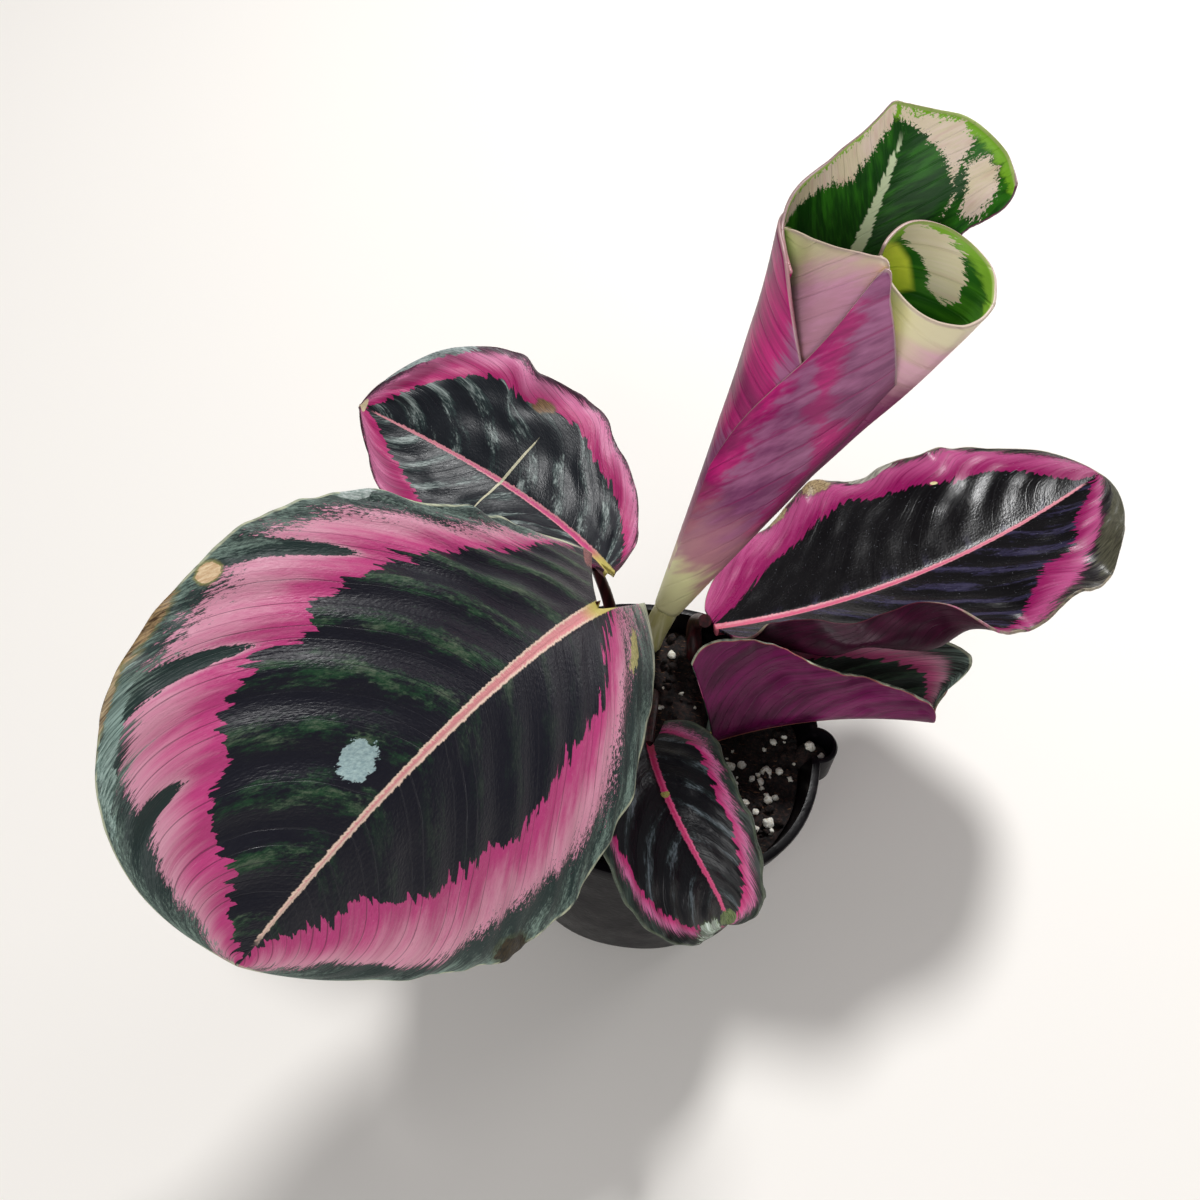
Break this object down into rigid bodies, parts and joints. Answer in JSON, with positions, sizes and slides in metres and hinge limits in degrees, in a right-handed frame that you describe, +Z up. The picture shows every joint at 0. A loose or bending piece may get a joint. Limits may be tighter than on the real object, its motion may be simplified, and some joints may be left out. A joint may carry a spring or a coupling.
{
  "type": "surprise star calathea",
  "caption": "Patterned prayer plant in a small black nursery pot, with broad pink-banded dark leaves and a tall rolled young leaf.",
  "frame": {"origin": "centre of the pot's underside, on the surface that it stands on", "axes": "+Z up out of the pot; the largest leaf lies to the front left (-X, -Y), the rolled leaf leans to +X and +Y"},
  "size_m": [0.2377, 0.2236, 0.2117],
  "materials": {
    "pot_plastic": "semi-gloss moulded black plastic",
    "peat_soil": "damp crumbly peat with white perlite",
    "leaf_skin": "waxy leaf, dark centre and pink band",
    "leaf_underside": "satin magenta leaf underside",
    "stalk_skin": "satin maroon stalk"
  },
  "bodies": {
    "root": {"pot": "pot_plastic", "soil": "peat_soil", "blade_front_left": "leaf_skin", "blade_back": "leaf_skin", "blade_right": "leaf_skin", "blade_low_right": "leaf_skin", "blade_front": "leaf_skin", "blade_rolled": "leaf_underside", "stalk_front_left": "stalk_skin", "stalk_back": "stalk_skin", "stalk_right": "stalk_skin", "stalk_low_right": "stalk_skin", "stalk_front": "stalk_skin", "stalk_rolled": "stalk_skin"}
  },
  "joints": []
}
